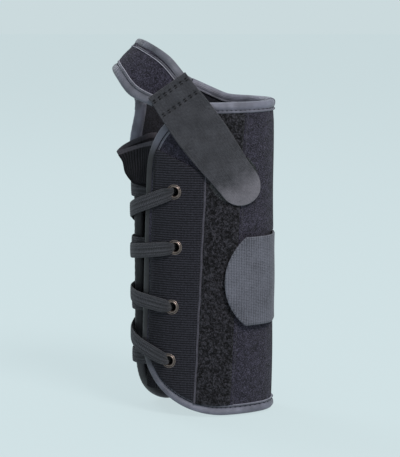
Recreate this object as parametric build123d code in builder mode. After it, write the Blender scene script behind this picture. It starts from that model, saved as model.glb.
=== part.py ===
"""Lace-up wrist and thumb splint for the right hand, standing on its forearm end.

The wrap is a flattened tube, open along the thumb side. The half over the back of the hand (dorsal)
carries the lace placket, the loop strip and a straight stay. The half over the palm carries the spoon
stay and the padded band that passes between thumb and index finger. Two flat laces run from the wide
pull strap round the thumb side, through the eyelets of both halves and back to the strap.

Millimetres, +Z towards the fingers, -Y towards the back of the hand, -X towards the thumb. The origin
is under the middle of the object's box, at the hem.
"""

import math
import os

from build123d import *

os.makedirs("parts", exist_ok=True)

# The tube: an oval of four tangent arcs, straight up from hem to rim.
tube_x = 6.85  # the tube's axis, off the box's middle because the thumb band overhangs
tube_y = -0.42
tube_height = 200.0
half_width = 43.5
half_depth = 27.5
end_radius = 19.0
end_centre = half_width - end_radius
face_radius = (end_centre**2 + half_depth**2 - end_radius**2) / (2 * (half_depth - end_radius))
face_centre = face_radius - half_depth
end_turn = math.degrees(math.atan2(face_centre, end_centre))  # half the turn of an end arc
end_run = math.radians(end_turn) * end_radius

# Layers, as distances outwards from the face of the wrap.
shell_thick = 3.0
lining_thick = 0.8
tape_thick = 0.7
placket_thick = 0.8
loop_thick = 1.0
welt_height = 1.5
inside = -(shell_thick + lining_thick)
tape_inside = inside - tape_thick

# The two halves, with their edges at the lacing gap.
seam_slack = 0.15  # each half stops this far short of the little-finger side's middle
dorsal_turn = -42.0  # the dorsal edge is laid out square to the wall there
palmar_turn = 70.0
dorsal_foot_x = -40.6
dorsal_head_x = -34.9
palmar_edge_y = 1.6
hem_corner = 46.0
rim_corner = 42.0
palmar_corner = 30.0
tape_width = 7.0

# Surface strips of the dorsal half.
welt_head = (0.6, 158.5)
welt_foot = (-7.2, 0.0)
welt_width = 1.4
placket_head_left = (-40.0, 172.7)
placket_head_right = 155.5
loop_edge_head = (25.5, tube_height)
loop_edge_foot = (16.0, 0.0)
palmar_placket_x = -17.0
palmar_placket_head = 172.0

# Eyelets, counted from the rim down.
eyelet_x = (-18.3, -17.9, -20.0, -21.9)
eyelet_z = (143.8, 108.8, 70.6, 35.8)
palmar_eyelet_run = 24.5  # along the wall from the thumb side's middle
palmar_eyelet_drop = 3.0
hole_radius = 2.7
barrel_radius = 3.1
flange_radius = 4.9
flange_thick = 1.0
flange_round = 0.4
washer_thick = 0.5
washer_sink = 0.25  # a flat ring sits this far off the hollow of the lining

# Stays ride in pockets on the lining, clear of the tape folded over the rim.
stay_slack = 0.35
stay_thick = 1.7
stay_outer = tape_inside - stay_slack
stay_inner = stay_outer - stay_thick
stay_metal_inset = 0.25
cap_length = 9.0
pocket_wall = 0.6
pocket_seam = 2.6  # a pocket is this much wider than its stay, on each side
pocket_inner = stay_inner - stay_slack - pocket_wall
pocket_floor = 12.0
pocket_mouth = 188.0
stay_foot = pocket_floor + pocket_wall + stay_slack
stay_head = 185.0
stay_x = 11.0
dorsal_stay_width = 17.0
spoon_stem_width = 23.0
spoon_bowl_width = 34.0
spoon_neck = (104.0, 136.0)
neck_round = 20.0
through = (-20.0, 2 * tube_height)  # past hem and rim, for outlines that run right through

# Laces and the wide strap that they are sewn to.
lace_width = 9.2
lace_thick = 1.1
lace_core = 2.3  # what the lace bunches to inside an eyelet
over_lace = placket_thick + flange_thick + 0.25
under_lace = -4.85
strand_lift = 0.3  # the outside strands lie on the level ones
strand_tuck = lace_width / 3  # a strand runs on this far past its eyelet's middle
level_leave = 30.0  # turns round the thumb side where a level strand leaves the inside ...
level_land = 4.0  # ... and where it lands on the outside
core_low = under_lace - 0.7 * lace_thick
core_high = over_lace + 0.8 * lace_thick
side_lace_z = (129.6, 103.0, 75.2, 48.3)  # where each strand rounds the thumb side
strap_lace_z = (106.0, 93.5, 80.5, 68.0)
strap_low = 59.0
strap_high = 114.5
strap_end_x = -15.0
lace_lap = 14.0
strap_layer = (0.6, 1.8)
cover_thick = 0.7
cover_gap = 0.05
strap_seam_y = 1.8
hook_inner = 1.35
tab_layer = (1.9, 3.1)
tab_shoulder_x = 25.0
tab_tip_x = 12.5
hook_margin = 3.0
hook_end_x = 34.0

# Tongue: a ribbed gusset behind the laces, which pouts out of the gap over the top lace.
tongue_layer = (-7.5, -6.2)
tongue_sewn_x = (-11.8, -9.2)
tongue_palmar_x = -30.0
tongue_low = 14.0
tongue_high = 171.0
pout_low = 149.5

# Thumb band, from the palmar rim over the thumb side to the thumb strap.
band_width = 27.0
band_shell = 3.4
band_tape_width = 6.0
band_wrap = 0.45
thumb_strap_root = (-22.8, 210.6)
thumb_strap_fall = 54.8  # degrees below level
thumb_strap_width = 30.0
thumb_strap_length = 90.0
thumb_strap_lift_x = -4.0  # from here towards the thumb the strap leaves the wrap on a tangent
thumb_strap_lap = 0.4  # the straight and the bent stretch share this much
thumb_hook_length = 24.0

reach = 70.0  # past the wall in any direction
plan = Plane((tube_x, tube_y, 0))


def upright(turn):
    """Upright drawing plane through the tube's axis, its level direction turned from +X."""
    level = Vector(math.cos(math.radians(turn)), math.sin(math.radians(turn)), 0)
    return Plane(origin=plan.origin, x_dir=level, z_dir=level.cross(Vector(0, 0, 1)))


front = upright(0)


def oval(grow):
    """Draws the tube's oval, grown outwards, in the open line builder."""
    CenterArc((end_centre, 0), end_radius + grow, -end_turn, 2 * end_turn)
    CenterArc((0, -face_centre), face_radius + grow, end_turn, 180 - 2 * end_turn)
    CenterArc((-end_centre, 0), end_radius + grow, 180 - end_turn, 2 * end_turn)
    CenterArc((0, face_centre), face_radius + grow, 180 + end_turn, 180 - 2 * end_turn)


def wall(inner, outer, low=0.0, high=tube_height):
    """Adds the tube's wall between two layers to the piece in hand."""
    with BuildSketch(plan.offset(low)) as outline:
        with BuildLine():
            oval(outer)
        make_face()
        with BuildLine():
            oval(inner)
        make_face(mode=Mode.SUBTRACT)
    extrude(outline.sketch, amount=high - low)


def keep_side(side, slack=seam_slack):
    """Keeps the piece in hand on one side of the seam: -1 the back of the hand, +1 the palm."""
    with BuildSketch(plan) as outline:
        with Locations((0, side * (slack + reach / 2))):
            Rectangle(2 * reach, reach)
    extrude(outline.sketch, amount=2 * tube_height, both=True, mode=Mode.INTERSECT)


def corner(x, y):
    """The corner of the sketch in hand nearest a point."""
    return vertices().sort_by_distance((x, y, 0))[0]


def dorsal_outline(inset, mode=Mode.INTERSECT):
    """Cuts the piece in hand by the outline of the dorsal half, drawn in by the inset."""
    foot = level_of(dorsal_foot_x, dorsal_turn) + inset
    head = level_of(dorsal_head_x, dorsal_turn) + inset
    with BuildSketch(upright(dorsal_turn)) as outline:
        with BuildLine():
            Polyline((foot, inset), (reach, inset), (reach, tube_height - inset),
                     (head, tube_height - inset), close=True)
        make_face()
        fillet(corner(foot, inset), hem_corner - inset)
        fillet(corner(head, tube_height - inset), rim_corner - inset)
    extrude(outline.sketch, amount=reach, both=True, mode=mode)


def palmar_outline(inset, mode=Mode.INTERSECT):
    """Cuts the piece in hand by the outline of the palmar half, drawn in by the inset."""
    turn = math.radians(palmar_turn)
    edge = palmar_edge_y * math.sin(turn) - half_width * math.cos(turn) + inset
    with BuildSketch(upright(palmar_turn)) as outline:
        with BuildLine():
            Polyline((edge, inset), (reach, inset), (reach, tube_height - inset),
                     (edge, tube_height - inset), close=True)
        make_face()
        fillet(corner(edge, inset), palmar_corner - inset)
    extrude(outline.sketch, amount=reach, both=True, mode=mode)


def level_of(x, turn):
    """Level place, on a turned drawing plane, of the back's point at this x on the thumb side."""
    arc_angle = math.acos((-x - end_centre) / end_radius)
    y = -end_radius * math.sin(arc_angle)
    return x * math.cos(math.radians(turn)) + y * math.sin(math.radians(turn))


def front_cut(*points, mode=Mode.INTERSECT):
    """Cuts the piece in hand by a polygon seen from the front."""
    with BuildSketch(front) as outline:
        with BuildLine():
            Polyline(*points, close=True)
        make_face()
    extrude(outline.sketch, amount=reach, both=True, mode=mode)


def level_band(low, high):
    """Keeps the piece in hand between two heights."""
    front_cut((-reach, low), (reach, low), (reach, high), (-reach, high))


def between_x(left, right):
    """Keeps the piece in hand between two upright lines seen from the front."""
    front_cut((left, -reach), (right, -reach), (right, 2 * tube_height), (left, 2 * tube_height))


def welt_place(z):
    """Point of the welt's line at a height."""
    share = (z - welt_foot[1]) / (welt_head[1] - welt_foot[1])
    return welt_foot[0] + share * (welt_head[0] - welt_foot[0]), z


def face_point(x, side, grow=0.0):
    """Point on a broad face of the wall, at this x, and its outward direction."""
    turn = math.asin(x / face_radius)
    out = Vector(math.sin(turn), side * math.cos(turn), 0)
    return plan.origin + Vector(0, -side * face_centre, 0) + out * (face_radius + grow), out


def eyelet_planes(side):
    """Planes on the wall at the eyelets of one half, facing outwards."""
    planes = []
    for x, z in zip(eyelet_x, eyelet_z):
        if side > 0:
            turn = math.radians(90 - end_turn) - (palmar_eyelet_run - end_run) / face_radius
            x = -face_radius * math.sin(turn)
            z = z - palmar_eyelet_drop
        point, out = face_point(x, side)
        planes.append(Plane(origin=point + Vector(0, 0, z), z_dir=out))
    return planes


def eyelet_holes(side):
    """Punches the row of eyelet holes through the piece in hand."""
    for place in eyelet_planes(side):
        with BuildSketch(place) as outline:
            Circle(barrel_radius)
        extrude(outline.sketch, amount=end_radius / 2, both=True, mode=Mode.SUBTRACT)


def keep(piece, label):
    """Labels a finished piece and writes it."""
    piece.part.label = label
    export_step(piece.part, f"parts/{label}.step")


# Panels: laminate of foam between fleece and knit.
with BuildPart() as dorsal_panel:
    wall(-shell_thick, 0)
    keep_side(-1)
    dorsal_outline(tape_thick)
    eyelet_holes(-1)
keep(dorsal_panel, "dorsal_panel")

with BuildPart() as palmar_panel:
    wall(-shell_thick, 0)
    keep_side(1)
    palmar_outline(tape_thick)
    eyelet_holes(1)
keep(palmar_panel, "palmar_panel")

# Linings: brushed knit on the skin side.
with BuildPart() as dorsal_lining:
    wall(inside, -shell_thick)
    keep_side(-1)
    dorsal_outline(tape_thick)
    eyelet_holes(-1)
keep(dorsal_lining, "dorsal_lining")

with BuildPart() as palmar_lining:
    wall(inside, -shell_thick)
    keep_side(1)
    palmar_outline(tape_thick)
    eyelet_holes(1)
keep(palmar_lining, "palmar_lining")

# Bindings: tape folded over the panel and lining, all round each half but the sewn side.
with BuildPart() as dorsal_edge_binding:
    wall(tape_inside, tape_thick)
    keep_side(-1)
    dorsal_outline(0)
    dorsal_outline(tape_width, Mode.SUBTRACT)
    add(dorsal_panel.part, mode=Mode.SUBTRACT)
    add(dorsal_lining.part, mode=Mode.SUBTRACT)
keep(dorsal_edge_binding, "dorsal_edge_binding")

with BuildPart() as palmar_edge_binding:
    wall(tape_inside, tape_thick)
    keep_side(1)
    palmar_outline(0)
    palmar_outline(tape_width, Mode.SUBTRACT)
    add(palmar_panel.part, mode=Mode.SUBTRACT)
    add(palmar_lining.part, mode=Mode.SUBTRACT)
keep(palmar_edge_binding, "palmar_edge_binding")

# Plackets: ribbed webbing that the eyelets are set through.
with BuildPart() as dorsal_lace_placket:
    wall(0, placket_thick)
    keep_side(-1)
    dorsal_outline(tape_width)
    front_cut(placket_head_left, welt_place(placket_head_right), welt_foot, (-reach, 0),
              (-reach, placket_head_left[1]))
    eyelet_holes(-1)
keep(dorsal_lace_placket, "dorsal_lace_placket")

with BuildPart() as palmar_lace_placket:
    wall(0, placket_thick)
    keep_side(1)
    palmar_outline(tape_width)
    between_x(-reach, palmar_placket_x)
    level_band(0, palmar_placket_head)
    eyelet_holes(1)
keep(palmar_lace_placket, "palmar_lace_placket")

# Welt: a corded ridge between the placket and the loop strip.
with BuildPart() as placket_welt:
    wall(0, welt_height)
    keep_side(-1)
    dorsal_outline(tape_width)
    front_cut(welt_head, (welt_head[0] + welt_width, welt_head[1]),
              (welt_foot[0] + welt_width, 0), welt_foot)
keep(placket_welt, "placket_welt")

with BuildPart() as dorsal_loop_strip:
    wall(0, loop_thick)
    keep_side(-1)
    dorsal_outline(tape_width)
    front_cut((welt_head[0] + welt_width, tube_height), loop_edge_head, loop_edge_foot,
              (welt_foot[0] + welt_width, 0), (welt_head[0] + welt_width, welt_head[1]))
keep(dorsal_loop_strip, "dorsal_loop_strip")


# Eyelets: a rolled flange and barrel from outside, clinched over a washer inside.
def eyelet_row(side):
    """Adds one half's row of eyelets to the piece in hand."""
    for place in eyelet_planes(side):
        with BuildSketch(place.offset(placket_thick)) as outline:
            Circle(flange_radius)
            Circle(hole_radius, mode=Mode.SUBTRACT)
        extrude(outline.sketch, amount=flange_thick)
        with BuildSketch(place.offset(inside - washer_sink - washer_thick)) as outline:
            Circle(barrel_radius)
            Circle(hole_radius, mode=Mode.SUBTRACT)
        extrude(outline.sketch, amount=placket_thick - inside + washer_sink + washer_thick)
    rims = edges().filter_by(GeomType.CIRCLE)
    outer_rims = [e for e in rims if abs(e.radius - flange_radius) < 0.01]
    fillet(outer_rims, flange_round)


def washer_row(side):
    """Adds one half's row of washers to the piece in hand."""
    for place in eyelet_planes(side):
        with BuildSketch(place.offset(inside - washer_sink - washer_thick)) as outline:
            Circle(flange_radius)
            Circle(barrel_radius, mode=Mode.SUBTRACT)
        extrude(outline.sketch, amount=washer_thick)


with BuildPart() as dorsal_eyelets:
    eyelet_row(-1)
keep(dorsal_eyelets, "dorsal_eyelets")

with BuildPart() as palmar_eyelets:
    eyelet_row(1)
keep(palmar_eyelets, "palmar_eyelets")

with BuildPart() as dorsal_eyelet_washers:
    washer_row(-1)
keep(dorsal_eyelet_washers, "dorsal_eyelet_washers")

with BuildPart() as palmar_eyelet_washers:
    washer_row(1)
keep(palmar_eyelet_washers, "palmar_eyelet_washers")


# Stays, with the vinyl caps that cover their ends.
def stay_outline(grow, foot, head):
    """Cuts the piece in hand by the straight stay's outline, grown on each side."""
    with BuildSketch(front) as outline:
        with Locations((stay_x, (foot + head) / 2)):
            RectangleRounded(dorsal_stay_width + 2 * grow, head - foot, dorsal_stay_width / 3)
    extrude(outline.sketch, amount=reach, both=True, mode=Mode.INTERSECT)


def spoon_outline(grow, foot, head):
    """Cuts the piece in hand by the spoon stay's outline: a stem that widens to the palm's bowl."""
    stem = spoon_stem_width / 2 + grow
    bowl = spoon_bowl_width / 2 + grow
    with BuildSketch(front) as outline:
        with BuildLine():
            Polyline((stay_x - stem, foot), (stay_x + stem, foot), (stay_x + stem, spoon_neck[0]),
                     (stay_x + bowl, spoon_neck[1]), (stay_x + bowl, head), (stay_x - bowl, head),
                     (stay_x - bowl, spoon_neck[1]), (stay_x - stem, spoon_neck[0]), close=True)
        make_face()
        for side in (-1, 1):
            fillet(corner(stay_x + side * stem, foot), spoon_stem_width / 3)
            fillet(corner(stay_x + side * bowl, head), spoon_bowl_width / 3)
            fillet(corner(stay_x + side * bowl, spoon_neck[1]), neck_round)
            fillet(corner(stay_x + side * stem, spoon_neck[0]), neck_round)
    extrude(outline.sketch, amount=reach, both=True, mode=Mode.INTERSECT)


def ends_only():
    """Removes the stretch between the two caps from the piece in hand."""
    low, high = stay_foot + cap_length, stay_head - cap_length
    front_cut((-reach, low), (reach, low), (reach, high), (-reach, high), mode=Mode.SUBTRACT)


with BuildPart() as dorsal_stay:
    wall(stay_inner + stay_metal_inset, stay_outer - stay_metal_inset)
    keep_side(-1)
    stay_outline(-stay_metal_inset, stay_foot + stay_metal_inset, stay_head - stay_metal_inset)
keep(dorsal_stay, "dorsal_stay")

with BuildPart() as dorsal_stay_caps:
    wall(stay_inner, stay_outer)
    keep_side(-1)
    stay_outline(0, stay_foot, stay_head)
    ends_only()
    add(dorsal_stay.part, mode=Mode.SUBTRACT)
keep(dorsal_stay_caps, "dorsal_stay_caps")

with BuildPart() as palmar_stay:
    wall(stay_inner + stay_metal_inset, stay_outer - stay_metal_inset)
    keep_side(1)
    spoon_outline(-stay_metal_inset, stay_foot + stay_metal_inset, stay_head - stay_metal_inset)
keep(palmar_stay, "palmar_stay")

with BuildPart() as palmar_stay_caps:
    wall(stay_inner, stay_outer)
    keep_side(1)
    spoon_outline(0, stay_foot, stay_head)
    ends_only()
    add(palmar_stay.part, mode=Mode.SUBTRACT)
keep(palmar_stay_caps, "palmar_stay_caps")

# Pockets: knit sewn to the lining round each stay, closed at the hem and open at the rim.
with BuildPart() as stay_hollow:
    wall(stay_inner - stay_slack, inside, pocket_floor + pocket_wall, tube_height)
    keep_side(-1)
    hollow_half = dorsal_stay_width / 2 + stay_slack
    between_x(stay_x - hollow_half, stay_x + hollow_half)

with BuildPart() as dorsal_stay_pocket:
    wall(pocket_inner, inside, pocket_floor, pocket_mouth)
    keep_side(-1)
    pocket_half = dorsal_stay_width / 2 + pocket_seam
    between_x(stay_x - pocket_half, stay_x + pocket_half)
    add(stay_hollow.part, mode=Mode.SUBTRACT)
keep(dorsal_stay_pocket, "dorsal_stay_pocket")

with BuildPart() as spoon_hollow:
    wall(stay_inner - stay_slack, inside, pocket_floor + pocket_wall, tube_height)
    keep_side(1)
    spoon_outline(stay_slack, *through)

with BuildPart() as palmar_stay_pocket:
    wall(pocket_inner, inside, pocket_floor, pocket_mouth)
    keep_side(1)
    spoon_outline(pocket_seam, *through)
    add(spoon_hollow.part, mode=Mode.SUBTRACT)
keep(palmar_stay_pocket, "palmar_stay_pocket")


# Laces: flat braid, bunched to a round core inside each eyelet.
lace_outer = over_lace + lace_thick
gap_reach = half_width + 2 * lace_outer  # past the strands on the thumb side


def band_points(start, mid, width):
    """Corners of a slanting band seen from the front, level past the thumb side's wall."""
    (x0, z0), (x1, z1) = start, mid
    half = width / 2
    return [(x0, z0 - half), (x0, z0 + half), (x1, z1 + half), (-gap_reach, z1 + half),
            (-gap_reach, z1 - half), (x1, z1 - half)]


with BuildPart() as strand_wall:
    wall(over_lace + strand_lift, lace_outer + strand_lift)


def outer_strand(index, side):
    """Adds one outside strand's stretch on one half, from its eyelet or from the pull strap."""
    if side < 0:
        start = (eyelet_x[index] + strand_tuck, eyelet_z[index])
    else:
        start = (strap_end_x + lace_lap, strap_lace_z[index])
    with BuildPart(mode=Mode.PRIVATE) as stretch:
        add(strand_wall.part)
        keep_side(side, 0)
        front_cut(*band_points(start, (-half_width, side_lace_z[index]), lace_width))
    return stretch.part


def under_strand(index):
    """One level strand, from inside the dorsal eyelet to outside the palmar one."""
    inner = under_lace - lace_thick / 2
    outer = over_lace + lace_thick / 2
    palmar_place = eyelet_planes(1)[index].origin - plan.origin
    palmar_angle = math.degrees(math.atan2(palmar_place.X, palmar_place.Y + face_centre))
    dorsal_angle = math.degrees(math.asin(eyelet_x[index] / face_radius))
    low = eyelet_z[index] - (palmar_eyelet_drop + lace_width) / 2
    with BuildPart(mode=Mode.PRIVATE) as strand:
        with BuildSketch(plan.offset(low)) as outline:
            with BuildLine():
                CenterArc((0, face_centre), face_radius + inner, 180 + end_turn,
                          90 - end_turn + dorsal_angle)
                leave = CenterArc((-end_centre, 0), end_radius + inner, 180 + end_turn,
                                  level_leave - end_turn)
                land = CenterArc((-end_centre, 0), end_radius + outer, 180 + level_land,
                                 -level_land - end_turn)
                Line(leave @ 1, land @ 0)
                CenterArc((0, -face_centre), face_radius + outer, 180 - end_turn,
                          end_turn - 90 - palmar_angle)
            trace(line_width=lace_thick)
        extrude(outline.sketch, amount=lace_width)
    return strand.part


def eyelet_core(place):
    """The lace bunched inside one eyelet."""
    with BuildPart(mode=Mode.PRIVATE) as core:
        with BuildSketch(place.offset(core_low)) as outline:
            Circle(lace_core)
        extrude(outline.sketch, amount=core_high - core_low)
    return core.part


def inner_run(first, second):
    """The upright stretch inside the palmar half, from one eyelet to the next."""
    top, foot = eyelet_planes(1)[first].origin, eyelet_planes(1)[second].origin
    x = top.X - tube_x
    with BuildPart(mode=Mode.PRIVATE) as run:
        wall(under_lace - lace_thick, under_lace, foot.Z - strand_tuck, top.Z + strand_tuck)
        keep_side(1)
        between_x(x - lace_width / 2, x + lace_width / 2)
    return run.part


# Each lace: four outside stretches, two level strands, four cores and the run inside the palm half.
for name, first, second in (("upper_lace", 0, 1), ("lower_lace", 2, 3)):
    with BuildPart() as lace:
        for index in (first, second):
            add(outer_strand(index, -1))
            add(outer_strand(index, 1))
            add(under_strand(index))
            add(eyelet_core(eyelet_planes(-1)[index]))
            add(eyelet_core(eyelet_planes(1)[index]))
        add(inner_run(first, second))
    keep(lace, name)


# Pull strap: the palmar stretch, the end cover over the laces, and the tab that peels.
with BuildPart() as pull_strap:
    wall(*strap_layer)
    keep_side(1, strap_seam_y)
    level_band(strap_low, strap_high)
    between_x(strap_end_x, reach)
keep(pull_strap, "pull_strap")

with BuildPart() as lace_end_cover:
    wall(lace_outer + strand_lift + cover_gap, lace_outer + strand_lift + cover_thick)
    keep_side(1)
    level_band(strap_low, strap_high)
    between_x(strap_end_x, strap_end_x + lace_lap)
keep(lace_end_cover, "lace_end_cover")


def tab_outline(inset, right):
    """Cuts the piece in hand by the tab's rounded end, seen from the front."""
    low, high = strap_low + inset, strap_high - inset
    with BuildSketch(front) as outline:
        with BuildLine():
            end = ThreePointArc((tab_shoulder_x, low), (tab_tip_x + inset, (low + high) / 2),
                                (tab_shoulder_x, high))
            Polyline(end @ 1, (right, high), (right, low), end @ 0)
        make_face()
    extrude(outline.sketch, amount=reach, both=True, mode=Mode.INTERSECT)


with BuildPart() as pull_strap_tab:
    wall(*tab_layer)
    keep_side(-1)
    tab_outline(0, reach)
keep(pull_strap_tab, "pull_strap_tab")

with BuildPart() as pull_strap_hook:
    wall(hook_inner, tab_layer[0])
    keep_side(-1)
    tab_outline(hook_margin, hook_end_x)
keep(pull_strap_hook, "pull_strap_hook")

# Tongue: the ribbed sheet behind the gap, its sewn edge, and the pouting top.
with BuildPart() as tongue:
    wall(*tongue_layer, tongue_low, tongue_high)
    with BuildSketch(plan):
        with BuildLine():
            Polyline((tongue_sewn_x[1], -reach), (-reach, -reach), (-reach, reach),
                     (tongue_palmar_x, reach), (tongue_palmar_x, 0), (tongue_sewn_x[1], 0), close=True)
        make_face()
    extrude(amount=tube_height, mode=Mode.INTERSECT)
    with BuildPart(mode=Mode.PRIVATE) as sewn_edge:
        wall(tongue_layer[0], inside, tongue_low, tongue_high)
        keep_side(-1)
        between_x(*tongue_sewn_x)
    add(sewn_edge.part)
    with BuildSketch(plan.offset(pout_low)):
        with BuildLine():
            Polyline((-35.5, -5.5), (-36.3, -1.6), (-46.5, -3.2), (-46.5, -6.0), close=True)
        make_face()
    with BuildSketch(plan.offset(tongue_high)):
        with BuildLine():
            Polyline((-35.5, -5.5), (-36.3, -1.6), (-55.4, -3.0), (-55.4, -7.0), close=True)
        make_face()
    loft()
keep(tongue, "tongue")


# Thumb band: stations from the palmar rim, over the thumb side, to the strap's root.
band_stations = (
    ((-26.1, 19.3, 200.0), (0.887, 0.462, 0.0), (0.0, 0.0, 1.0)),
    ((-35.5, 17.5, 214.0), (0.82, 0.33, 0.46), (-0.55, -0.25, 0.80)),
    ((-44.5, 9.5, 223.5), (0.73, 0.12, 0.67), (-0.45, -0.75, 0.45)),
    ((-49.2, -2.0, 227.4), (0.68, 0.0, 0.73), (0.0, -1.0, 0.0)),
    ((-46.2, -13.0, 225.2), (0.70, -0.05, 0.71), (0.40, -0.85, -0.35)),
    ((-35.0, -20.9, 217.9), (0.77, 0.0, 0.64), (0.60, -0.35, -0.70)),
    ((-20.5, -25.0, 207.3), (0.817, -0.056, 0.577), (0.577, -0.039, -0.817)),
)


def band_loft(left, right, under, over):
    """Adds a strip of the band between two places across it and two layers through it."""
    sections = []
    for centre, across, along in band_stations:
        along = Vector(*along).normalized()
        across = Vector(*across)
        across = (across - along * across.dot(along)).normalized()
        place = Plane(origin=plan.origin + Vector(*centre), x_dir=across, z_dir=along)
        with BuildSketch(place) as outline:
            with Locations(((left + right) / 2, (under + over) / 2)):
                Rectangle(right - left, over - under)
        sections.append(outline.sketch)
    loft(sections)


band_half = band_width / 2
band_face = (band_shell + lining_thick) / 2
with BuildPart() as thumb_band:
    band_loft(-band_half + band_wrap, band_half - band_wrap, -band_face + lining_thick, band_face)
keep(thumb_band, "thumb_band")

with BuildPart() as thumb_band_lining:
    band_loft(-band_half + band_wrap, band_half - band_wrap, -band_face, -band_face + lining_thick)
    add(thumb_band.part, mode=Mode.SUBTRACT)
keep(thumb_band_lining, "thumb_band_lining")

for name, left in (("thumb_band_thumb_binding", -band_half),
                   ("thumb_band_finger_binding", band_half - band_tape_width)):
    with BuildPart() as band_binding:
        band_loft(left, left + band_tape_width, -band_face - band_wrap, band_face + band_wrap)
        add(thumb_band.part, mode=Mode.SUBTRACT)
        add(thumb_band_lining.part, mode=Mode.SUBTRACT)
    keep(band_binding, name)


# Thumb strap: webbing sewn over the band's end, hooked to the loop strip at its tip.
def strap_plan(inner, outer):
    """Adds the strap's plan, bent with the wall and then straight towards the thumb."""
    point, out = face_point(thumb_strap_lift_x, -1, inner)
    with BuildSketch(plan) as outline:
        with BuildLine():
            oval(outer)
        make_face()
        with BuildLine():
            oval(inner)
        make_face(mode=Mode.SUBTRACT)
        with Locations((thumb_strap_lift_x - thumb_strap_lap + reach, -reach)):
            Rectangle(2 * reach, 2 * reach, mode=Mode.INTERSECT)
        with Locations(Location(point - plan.origin, math.degrees(math.atan2(-out.X, out.Y)) + 180)):
            Rectangle(reach, outer - inner, align=(Align.MAX, Align.MAX))
    extrude(outline.sketch, amount=2 * tube_height)


def strap_outline(start, length):
    """Cuts the piece in hand by the strap's stretch from a start to its rounded tip."""
    fall = math.radians(thumb_strap_fall)
    along = Vector(math.cos(fall), 0, -math.sin(fall))
    root = plan.origin + Vector(thumb_strap_root[0], 0, thumb_strap_root[1])
    with BuildSketch(Plane(origin=root, x_dir=along, z_dir=(0, -1, 0))) as outline:
        end = length - thumb_strap_width / 2
        with Locations((start, 0)):
            Rectangle(end - start, thumb_strap_width, align=(Align.MIN, Align.CENTER))
        with Locations((end, 0)):
            Circle(thumb_strap_width / 2)
    extrude(outline.sketch, amount=reach, mode=Mode.INTERSECT)


with BuildPart() as thumb_strap:
    strap_plan(*tab_layer)
    strap_outline(0, thumb_strap_length)
keep(thumb_strap, "thumb_strap")

with BuildPart() as thumb_strap_hook:
    strap_plan(hook_inner, tab_layer[0])
    strap_outline(thumb_strap_length - thumb_hook_length, thumb_strap_length - hook_margin)
keep(thumb_strap_hook, "thumb_strap_hook")
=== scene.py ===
import math

import bmesh
import bpy
from mathutils import Matrix, Vector


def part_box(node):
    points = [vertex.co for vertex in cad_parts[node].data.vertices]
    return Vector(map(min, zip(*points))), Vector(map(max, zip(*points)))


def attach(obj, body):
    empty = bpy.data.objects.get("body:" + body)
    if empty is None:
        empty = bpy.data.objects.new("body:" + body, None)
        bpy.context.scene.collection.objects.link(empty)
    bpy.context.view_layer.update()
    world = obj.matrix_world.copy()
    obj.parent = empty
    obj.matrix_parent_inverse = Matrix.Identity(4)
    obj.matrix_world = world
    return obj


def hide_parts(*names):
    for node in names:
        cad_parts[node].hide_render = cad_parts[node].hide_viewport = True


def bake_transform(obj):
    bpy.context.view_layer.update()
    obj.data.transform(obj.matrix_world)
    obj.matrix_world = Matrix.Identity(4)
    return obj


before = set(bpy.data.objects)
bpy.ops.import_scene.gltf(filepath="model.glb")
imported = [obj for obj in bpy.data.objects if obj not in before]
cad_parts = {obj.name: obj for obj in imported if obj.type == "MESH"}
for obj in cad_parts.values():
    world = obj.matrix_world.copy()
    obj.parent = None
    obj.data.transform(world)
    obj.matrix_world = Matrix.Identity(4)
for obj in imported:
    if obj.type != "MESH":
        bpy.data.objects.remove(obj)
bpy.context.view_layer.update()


# Camera. It stands a long way in front of the back of the hand and looks slightly down.
tape_proud = 0.0007
half_width = 0.0435
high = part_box("palmar_edge_binding")[1]
form_x = high.x - half_width - tape_proud
form_y = (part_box("dorsal_edge_binding")[0].y + high.y) / 2
splint_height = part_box("dorsal_edge_binding")[1].z
aim = Vector((form_x, form_y, splint_height * 0.513))
camera_away = 1.2
tilt = math.radians(10)
camera_data = bpy.data.cameras.new("camera")
camera_data.lens = 147.8
camera_data.sensor_width = 36
camera_data.shift_x = -0.0088
camera_data.shift_y = 0.047
camera_data.clip_start = 0.01
camera = bpy.data.objects.new("camera", camera_data)
camera.location = aim + Vector((0, -math.cos(tilt), math.sin(tilt))) * camera_away
camera.rotation_euler = (math.pi / 2 - tilt, 0, 0)
bpy.context.scene.collection.objects.link(camera)
bpy.context.scene.camera = camera


# Panels. Each half of the wrap is foam between brushed fleece and a knit, 3 mm thick. They are cut flat,
# punched for the eyelets and sewn round one form, an oval of four arcs. A place on the form is a run
# along it from the thumb side, negative round the back of the hand, a height, and a layer outwards.
half_depth = 0.0275
side_radius = 0.019
side_centre = half_width - side_radius
face_radius = (side_centre**2 + half_depth**2 - side_radius**2) / (2 * (half_depth - side_radius))
face_centre = face_radius - half_depth
side_turn = math.atan2(face_centre, side_centre)
side_run = side_turn * side_radius
face_run = (math.pi - 2 * side_turn) * face_radius
half_run = 2 * side_run + face_run
shell_thick = 0.003
edge_foot = -0.0106
edge_head = -0.0188
hem_corner = (0.055, 0.050)
rim_corner = (0.043, 0.045)
palm_edge = 0.0016
palm_corner = (0.030, 0.046)
flare_out = 0.0032
flare_end = 0.022
flare_middle = 0.172
flare_tall = 0.017
ear_start = 0.0700
ear_end = 0.0460
ear_slope = 0.43
ear_drop = 0.0140
ear_round = 0.004
palm_lean = 0.0050
lean_start = 0.162
eyelet_x = (-0.0183, -0.0179, -0.0200, -0.0219)
eyelet_z = (0.1438, 0.1088, 0.0706, 0.0358)
palm_eyelet_run = 0.0245
palm_eyelet_drop = 0.003
punch = 0.0039
pull_low = 0.0590
pull_high = 0.1145
press_margin = 0.0025
press_fade = 0.003
panel_inset = 0.0015
quilt_swell = 0.0008


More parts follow.
